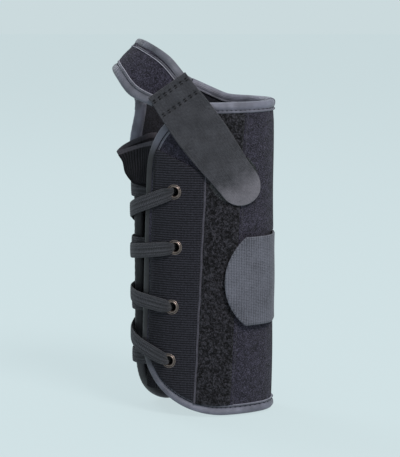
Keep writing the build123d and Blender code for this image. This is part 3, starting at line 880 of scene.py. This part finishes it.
# Painted highlight: the doubled hem at the top is mixed towards a pale colour.
hem_painted_highlight = tongue_knit.over(along, doubled_hem, doubled_hem + 0.015)
knit = tongue_knit.mix(tongue_knit.over(painted_valley_shade * 0.3 + loops * 0.08 + fuzz, 0.25, 0.9), linear_colour(12, 11, 14),
                       linear_colour(44, 42, 49))
tongue_knit.look(tongue_knit.mix(hem_painted_highlight * (0.45 + fuzz * 0.5), knit, linear_colour(92, 88, 96)),
                 loops * 0.3 + fuzz, 0.0004)
tongue = cut_cloth("tongue_sheet", 280, 150, tongue_place, None, -tongue_thick, tongue_relief)
dressed(tongue, tongue_knit, "tongue_knit", "tongue")
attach(tongue, "dorsal")


# Laces. Two flat braided laces. Each goes from the pull strap round the thumb side, into an eyelet of
# the dorsal half, back inside, across the gap and into the palmar half's eyelet, and returns lower down.
# A route's places are run, height, layer, width and thickness, in millimetres.
lace_flat = (9.2, 1.1)
lace_bunched = (4.3, 2.2)
lace_ribs = 7
thumb_side_z = (0.1296, 0.1030, 0.0752, 0.0483)
strap_z = (0.1060, 0.0935, 0.0805, 0.0680)
lace_lean = (13.0, 5.0, -3.5, -14.0)
strap_lap_run = face_run_at(-0.001, 1)


def strand_route(index):
    """One strand's route, from the pull strap to the inside of the palmar eyelet."""
    run, height = (value * 1000 for value in holes[-1][index])
    side, strap = thumb_side_z[index] * 1000, strap_z[index] * 1000
    level = height - palm_eyelet_drop * 1000 / 2
    palm_run, palm_height = palm_eyelet_run * 1000, height - palm_eyelet_drop * 1000
    slope = (height - side) / (abs(run) - 3)
    return [
        (strap_lap_run * 1000, strap, 2.6, *lace_flat), (44, strap, 2.6, *lace_flat),
        (30, blend_of(strap, side, 0.25), 2.8, *lace_flat),
        (16, blend_of(strap, side, 0.62), 3.3, *lace_flat),
        (6, blend_of(strap, side, 0.9), 3.5, *lace_flat), (-3, side, 3.1, *lace_flat),
        (-12, side + slope * 9, 2.9, *lace_flat), (-22, side + slope * 19, 2.7, *lace_flat),
        (run + 6.5, height - slope * 6.5, 2.7, 9.0, 1.1), (run + 3.2, height - slope * 3.2, 2.6, 8.0, 1.3),
        (run + 1.5, height - slope * 0.5, 1.3, 6.0, 1.7), (run + 1.5, height, -0.6, *lace_bunched),
        (run + 1.4, height, -3.4, *lace_bunched), (run + 2.6, height, -5.6, 6.2, 1.7),
        (run + 7, level, -5.6, 9.0, 1.1), (-22, level, -5.6, *lace_flat), (-14, level, -5.4, *lace_flat),
        (-8, level, -3.2, *lace_flat), (-3.5, level, 0.2, *lace_flat), (1.5, level, 2.4, *lace_flat),
        (9, level, 2.5, *lace_flat), (palm_run - 5.5, palm_height, 2.6, 9.0, 1.1),
        (palm_run - 3.2, palm_height, 2.6, 8.0, 1.3), (palm_run - 1.5, palm_height, 1.3, 6.0, 1.7),
        (palm_run - 1.5, palm_height, -0.6, *lace_bunched),
        (palm_run - 1.4, palm_height, -3.6, *lace_bunched), (palm_run - 0.6, palm_height, -4.8, 5.6, 1.6),
    ]


def braid_place(route, lean):
    """Sweeps the lace's ribbed section along a route."""
    def place(u, v):
        here = through(route, v)
        step = through(route, min(v + 0.004, 1.0)) - through(route, max(v - 0.004, 0.0))
        way = Vector(step[:3]).normalized()
        tip = math.radians(ease((0.52 - v) / 0.1) * lean)
        across = Vector((math.sin(tip), math.cos(tip), 0))
        across = (across - way * across.dot(way)).normalized()
        out = way.cross(across)
        turn = 2 * math.pi * u
        wide, thick = here[3] / 2, here[4] / 2
        a = math.copysign(abs(math.cos(turn)) ** 0.75, math.cos(turn))
        h = math.copysign(abs(math.sin(turn)) ** 0.6, math.sin(turn))
        h *= 1 + 0.17 * math.cos(a * lace_ribs * math.pi) * (1 - a**4)
        spot = Vector(here[:3]) + across * a * wide + out * h * thick
        return on_form(spot.x / 1000, spot.y / 1000, spot.z / 1000)
    return place


def upright_place(route):
    """Sweeps the lace's section up or down the inside of a half."""
    def place(u, v):
        here = through(route, v)
        step = through(route, min(v + 0.01, 1.0)) - through(route, max(v - 0.01, 0.0))
        way = Vector(step[:3]).normalized()
        across = Vector((1, 0, 0))
        across = (across - way * across.dot(way)).normalized()
        out = way.cross(across)
        turn = 2 * math.pi * u
        spot = Vector(here[:3]) + across * math.cos(turn) * here[3] / 2 + out * math.sin(turn) * here[4] / 2
        return on_form(spot.x / 1000, spot.y / 1000, spot.z / 1000)
    return place


def inner_route(first, second):
    """The upright stretch inside the palmar half, between a lace's two eyelets."""
    top, foot = (holes[1][i][1] * 1000 for i in (first, second))
    run = palm_eyelet_run * 1000
    return [(run + 0.4, top, -4.4, 4.8, 2.0), (run, top - 3, -5.6, 7.5, 1.3),
            (run, top - 8, -5.7, *lace_flat), (run, foot + 8, -5.7, *lace_flat),
            (run, foot + 3, -5.6, 7.5, 1.3), (run + 0.4, foot, -4.4, 4.8, 2.0)]


lace_braid = Finish("lace_braid", roughness=0.85, sheen_weight=0.08, sheen_roughness=0.5)
across, along = lace_braid.flat()
rib_shade = lace_braid.wave(across, 1 / (2 * lace_ribs))
chevron = lace_braid.wave(along * 0.24 + rib_shade * 0.0002, 0.0011)
fray = lace_braid.noise(0.0006, 3.0, 0.7)
lace_braid.look(lace_braid.mix(lace_braid.over(chevron * 0.1 + fray + rib_shade * 0.12, 0.25, 0.85),
                               linear_colour(36, 35, 38), linear_colour(74, 73, 79)), chevron * 0.4 + fray * 0.7, 0.00025)


for name, node, first, second in (("upper_lace_braid", "upper_lace", 0, 1),
                                  ("lower_lace_braid", "lower_lace", 2, 3)):
    strands = [cut_cloth(name, 84, 260, braid_place(strand_route(index), -lace_lean[index]), closed=True)
               for index in (first, second)]
    strands.append(cut_cloth(name, 40, 60, upright_place(inner_route(first, second)), closed=True))
    joined = bmesh.new()
    for strand in strands:
        joined.from_mesh(strand.data)
    for strand in strands[1:]:
        bpy.data.objects.remove(strand)
    lace = strands[0]
    joined.to_mesh(lace.data)
    joined.free()
    dressed(lace, lace_braid, "lace_braid", node)
    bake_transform(lace)


# Pull strap. Wide stretch webbing that the lace ends are sewn to on the palm. It goes round the little
# finger's side and its rounded tab is hooked to the loop strip.
pull_end_run = face_run_at(-0.0150, 1)
tab_tip_x = 0.0125
tab_shoulder_x = 0.0250
tab_top_layer = 0.0031
pull_layer = 0.0004
pull_pitch = 0.0016
pull_thick = 0.0012
tab_thick = 0.0011


def tab_left(height):
    """Across place of the tab's rounded end at a height."""
    half = (pull_high - pull_low) / 2
    deep = tab_shoulder_x - tab_tip_x
    radius = (half**2 + deep**2) / (2 * deep)
    away = min(abs(height - pull_low - half), half)
    return tab_tip_x + radius - math.sqrt(radius**2 - away**2)


def tab_flat(u, v):
    height = blend_of(pull_low, pull_high, v)
    return blend_of(face_run_at(tab_left(height)), -half_run, u), height


def pull_flat(u, v):
    return blend_of(pull_end_run, half_run, u), blend_of(pull_low, pull_high, v)


def corded(flat, layer):
    """Webbing with upright ribs and a firm, slightly raised rim."""
    def place(u, v):
        run, height = flat(u, v)
        rim = ease(1 - min(u * 24, (1 - v) * 30, v * 30))
        dip = 0.0004 * ease(1 - min(u * 60, (1 - v) * 80, v * 80))
        rib = 0.00007 * math.sin(run * 2 * math.pi / pull_pitch) * (1 - rim)
        wave = 0.00012 * math.sin(height * 160 + run * 60)
        hug = blend_of(layer, pull_layer, ease((-run - 0.0965) / 0.013))
        return on_form(run, height, hug + rib + wave + 0.00012 * rim - dip)
    return place


pull_webbing = Finish("pull_webbing", roughness=0.85, sheen_weight=0.08, sheen_roughness=0.5)
across, along = pull_webbing.flat()
ribs = pull_webbing.wave(across, pull_pitch)
picks = pull_webbing.wave(along, 0.0010)
yarn = pull_webbing.noise(0.0008, 3.0, 0.65)
cloud = pull_webbing.noise(0.012, 2.0, 0.5)
tone = pull_webbing.over(ribs * 0.10 + picks * 0.06 + yarn * 0.8 + cloud * 0.4, 0.3, 0.9)
pull_webbing.look(pull_webbing.mix(tone, linear_colour(56, 56, 62), linear_colour(97, 97, 107)), picks * 0.35 + yarn, 0.0002)
tab = cut_cloth("pull_tab", 200, 110, corded(tab_flat, tab_top_layer), tab_flat, -tab_thick)
dressed(tab, pull_webbing, "pull_webbing", "pull_strap_tab")
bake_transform(tab)
pull = cut_cloth("pull_strap_webbing", 220, 80, corded(pull_flat, pull_layer), pull_flat, pull_thick)
dressed(pull, pull_webbing, "pull_webbing", "pull_strap")
ride_palm(pull)


cover_layers = (0.0014, 0.0040)
cover_thick = 0.0005


def cover_flat(u, v):
    return blend_of(pull_end_run, strap_lap_run, u), blend_of(pull_low, pull_high, v)


def cover_place(u, v):
    run, height = cover_flat(u, v)
    lift = min(abs(height - z) for z in strap_z)
    swell = ease(1 - max(lift - 0.0040, 0) / 0.0024)
    return on_form(run, height, blend_of(*cover_layers, swell * ease(min(u, 1 - u) * 7)))


cover_tape = satin_tape("cover_tape", linear_colour(46, 44, 52), linear_colour(72, 70, 80), linear_colour(84, 82, 92))
cover = cut_cloth("lace_cover", 40, 160, cover_place, cover_flat, cover_thick)
dressed(cover, cover_tape, "cover_tape", "lace_end_cover")
ride_palm(cover)


# Thumb band. A padded strip of the palmar panel's laminate, sewn to the rim, goes up between thumb and
# index finger, folds over the thumb side and comes down to the thumb strap. Both edges are bound.
band_left = [
    (-42.4, 6.5, 196.4), (-44.4, 8.6, 201.6), (-48.5, 9.6, 207.8), (-53.6, 6.6, 214.5),
    (-57.3, -2.0, 217.5), (-54.6, -12.8, 213.6), (-46.4, -21.4, 203.8), (-32.5, -26.2, 197.4),
]
band_right = [
    (-10.2, 26.9, 210.4), (-18.0, 25.2, 215.8), (-26.5, 20.0, 224.4), (-34.6, 11.1, 232.5),
    (-39.6, -2.0, 237.6), (-33.4, -13.7, 236.0), (-20.8, -22.4, 228.0), (-9.5, -27.6, 215.1),
]
band_seam = 0.0072
band_seam_layer = 0.0004
band_length = 0.115
band_lap = 0.04
band_fleece_thick = 0.0032
band_inside = -0.0036
piping_radius = 0.00024


def band_spot(t, w):
    """A place on the band's outer face: a share of its way, and a share across from thumb to finger."""
    inward = (ear_end - palm_edge) * w
    top = ear_top(palm_edge + inward)
    root = on_form(palmar_run(inward, top), top + min(t, 0.0) * 0.13, 0.0004)
    if t <= 0:
        return root
    left = from_tube(*through(band_left, t))
    right = from_tube(*through(band_right, t))
    start = from_tube(*band_left[0]).lerp(from_tube(*band_right[0]), w)
    return left.lerp(right, w) + (root - start) * ease(1 - t / 0.3)


def band_place(t, w, layer):
    """A place at a layer above the band's outer face."""
    along = band_spot(min(t + 0.01, 1), w) - band_spot(max(t - 0.01, -band_lap), w)
    across = band_spot(t, min(w + 0.02, 1)) - band_spot(t, max(w - 0.02, 0))
    return band_spot(t, w) + along.cross(across).normalized() * layer


def band_width_at(t):
    return (band_spot(t, 1) - band_spot(t, 0)).length


def band_shell_place(u, v):
    crown = 0.0012 * math.sin(math.pi * u) ** 0.6 + 0.0002 * math.sin(v * 40 + u * 9)
    crown *= ease((1 - v) / 0.16) * ease(v / 0.08)
    return band_place(blend_of(-band_lap, 1, v), blend_of(0.05, 0.95, u), crown)


def band_lining_place(u, v):
    hollow = 0.0003 * math.sin(math.pi * u)
    return band_place(blend_of(0.005, 1, v), blend_of(0.08, 0.92, u), band_inside + hollow)


def ride_band(piece):
    """Bakes the placement of a piece of the band, which reaches from the palmar half over the gap to the
    dorsal one, into its mesh.
    """
    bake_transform(piece)


def band_flat(u, v):
    return u * 0.03, v * 0.11


band_fleece = cut_cloth("band_fleece", 50, 150, band_shell_place, band_flat, -band_fleece_thick)
dressed(band_fleece, face_fleece, "band_fleece", "thumb_band")
ride_band(band_fleece)
band_knit = cut_cloth("band_knit", 30, 90, band_lining_place, band_flat, -lining_thick)
dressed(band_knit, lining_knit, "lining_knit", "thumb_band_lining")
ride_band(band_knit)
band_tape = satin_tape("band_tape", linear_colour(50, 50, 57), linear_colour(100, 99, 112), linear_colour(60, 59, 67))
pale_thread = Finish("pale_piping", roughness=0.7)
glint = pale_thread.noise(0.0012)
pale_thread.look(pale_thread.mix(glint, linear_colour(116, 114, 126), linear_colour(164, 161, 172)), glint, 0.0001)
for name, side, node in (("band_thumb_tape", 0, "thumb_band_thumb_binding"),
                         ("band_finger_tape", 1, "thumb_band_finger_binding")):
    def band_edge(v, deep, layer):
        t = blend_of(-band_lap, 1, v)
        share = deep / band_width_at(t)
        proud = 0.95 - 0.4 * ease((t - 0.85) / 0.1)
        return band_place(t, share if side == 0 else 1 - share, layer * proud + 0.0002)

    def piping_place(u, v):
        turn = 2 * math.pi * u
        return band_edge(v, band_seam + 0.0003 + piping_radius * math.cos(turn),
                         0.0010 + piping_radius * math.sin(turn))

    tape = tape_cut(name, 130, band_edge)
    dressed(tape, band_tape, "band_tape", node)
    ride_band(tape)
    piping = cut_cloth(name + "_piping", 8, 160, piping_place, closed=True)
    dressed(piping, pale_thread, "band_tape")
    ride_band(piping)
    spots = seam_spots(lambda t: band_edge(t, seam_deep, band_seam_layer), band_length)
    sewn = stitches(name + "_stitches", spots, dark_thread, "band_tape")
    ride_band(sewn)


# Thumb strap. Herringbone webbing sewn over the band's end with two rows of paired stitches. It slants
# down over the back of the hand to the loop strip, and its rounded tip is lightened with a painted
# highlight.
strap_root = (-22.8, 210.6)
strap_fall = math.radians(54.8)
strap_length = 90.0
strap_lift_x = -4.0
strap_tip = 14.0
strap_half = (14.0, 15.2, 12.3)
strap_layer = 0.0031
strap_thick = 0.0013
strap_rows = (4.0, 14.0)
stitch_layer = 0.0033
stitches_in_row = 7
stitch_reach = 12.0


def strap_xz(a, b):
    """Across place and height of the strap's point, from its distances along and across in mm."""
    x = strap_root[0] + a * math.cos(strap_fall) + b * math.sin(strap_fall)
    z = strap_root[1] - a * math.sin(strap_fall) + b * math.cos(strap_fall)
    return x, z


def strap_place_at(a, b, layer):
    """A place on the strap. Towards the thumb it leaves the form on a tangent."""
    x, z = strap_xz(a, b)
    run, height = face_run_at(max(x, strap_lift_x) / 1000), z / 1000
    spot = on_form(run, height, layer)
    if x < strap_lift_x:
        out = (on_form(run, height, 0.01) - on_form(run, height, 0)).normalized()
        level = Vector((-out.y, out.x, 0))
        spot += level * (x - strap_lift_x) / 1000 / level.x
    return spot


def strap_flat_mm(u, v):
    """The strap's flat pattern: it widens from its head and narrows again to its rounded tip."""
    b = blend_of(-1, 1, u)
    tip = math.sqrt(max(1 - abs(b) ** 2.1, 0.0)) * strap_tip
    a = v * (strap_length - strap_tip + tip)
    head, widest, end = strap_half
    half = head + (widest - head) * ease(a / 26) + (end - widest) * ease((a - 34) / 44)
    return a, b * half


def strap_flat(u, v):
    a, b = strap_flat_mm(u, v)
    return b / 1000, a / 1000


def strap_surface(u, v):
    """The strap's outer face, with a firm rim, pulled down along its rows of stitches."""
    a, b = strap_flat_mm(u, v)
    rim = ease(1 - min(u, 1 - u) * 26)
    edge = ease(1 - min(u, 1 - u, v * 2, (1 - v) * 2.5) * 70)
    wave = 0.0003 * math.sin(a * 0.13 + b * 0.1) + 0.00018 * math.sin(a * 0.31 - b * 0.22)
    root = ease(1 - a / 16)
    seam = sum(0.0003 * ease(1 - abs(a - row) / 1.8) for row in strap_rows)
    layer = strap_layer + wave * (1 - root) + 0.00014 * rim - 0.0005 * edge - seam + 0.0003 * root
    return strap_place_at(a, b, layer)


thumb_webbing = Finish("thumb_webbing", roughness=0.85, sheen_weight=0.06, sheen_roughness=0.5)
across, along = thumb_webbing.flat()
columns = thumb_webbing.node("Math", {"operation": "PINGPONG"}, {0: across, 1: 0.0013})
twill = thumb_webbing.wave(along + columns * 1.1, 0.00105)
weft = thumb_webbing.wave(along, 0.0008)
yarn = thumb_webbing.noise(0.0007, 3.0, 0.65)
cloud = thumb_webbing.noise(0.010, 3.0, 0.6)
# Painted highlight: towards its rounded tip the webbing is mixed with a pale colour.
painted_tip_highlight = thumb_webbing.over(along + cloud * 0.014, 0.074, 0.092)
tone = thumb_webbing.over(twill * 0.16 + weft * 0.05 + yarn * 0.7 + cloud * 0.4, 0.25, 0.9)
base = thumb_webbing.mix(tone, linear_colour(32, 32, 35), linear_colour(78, 77, 83))
thumb_webbing.look(thumb_webbing.mix(painted_tip_highlight * (0.2 + yarn * 0.5), base, linear_colour(134, 129, 138)),
                   twill * 0.45 + weft * 0.2 + yarn * 0.7, 0.00020)
thumb_strap = cut_cloth("thumb_strap_webbing", 110, 260, strap_surface, strap_flat, -strap_thick)
dressed(thumb_strap, thumb_webbing, "thumb_webbing", "thumb_strap")
strap_root_spot = strap_place_at(0, 0, 0.003)
strap_turned = strap_place_at(24, 0, 0.003)
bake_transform(thumb_strap)
strap_stitches = []
for row in strap_rows:
    for i in range(stitches_in_row):
        b = blend_of(-stitch_reach, stitch_reach, i / (stitches_in_row - 1))
        way = (strap_place_at(row, b + 1, 0.003) - strap_place_at(row, b, 0.003)).normalized()
        for shift in (-0.7, 0.7):
            strap_stitches.append((strap_place_at(row + shift, b, stitch_layer), way))
black_thread = Finish("black_thread", gloss=0.2, roughness=0.8)
twine = black_thread.noise(0.0004)
black_thread.look(black_thread.mix(twine, linear_colour(5, 5, 6), linear_colour(22, 21, 24)), twine, 0.0001)
strap_thread = stitches("thumb_strap_stitches", strap_stitches, black_thread, "thumb_webbing",
                        long=0.0024, thick=0.0008)
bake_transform(strap_thread)


# Studio. A pale floor that fades into a pale room, and soft lights above, in front and behind.
paper_dye = linear_colour(203, 218, 221)
world = bpy.data.worlds.new("studio")
world.use_nodes = True
world.node_tree.nodes["Background"].inputs[0].default_value = paper_dye
bpy.context.scene.world = world
bpy.context.scene.view_settings.view_transform = "Standard"
paper = Finish("paper", gloss=0.0, roughness=1.0, base_color=linear_colour(203, 218, 221, 0.12),
               emission_color=paper_dye, emission_strength=0.90)
mesh = bmesh.new()
bmesh.ops.create_grid(mesh, x_segments=1, y_segments=1, size=4)
floor = piece_of("floor", mesh)
floor.location.z = -0.0003
floor.data.materials.append(paper.material)


def soft_light(name, place, size, power, colour=(1, 1, 1)):
    light = bpy.data.lights.new(name, "AREA")
    light.shape = "DISK"
    light.size = size
    light.energy = power
    light.color = colour
    lamp = bpy.data.objects.new(name, light)
    lamp.location = place
    lamp.rotation_euler = (aim - Vector(place)).to_track_quat("-Z", "Y").to_euler()
    bpy.context.scene.collection.objects.link(lamp)


soft_light("key", (0.7, -1.0, 1.5), 0.6, 30, (1.0, 0.97, 0.94))
soft_light("rim", (-0.9, 0.9, 1.3), 0.7, 12, (0.93, 0.96, 1.0))
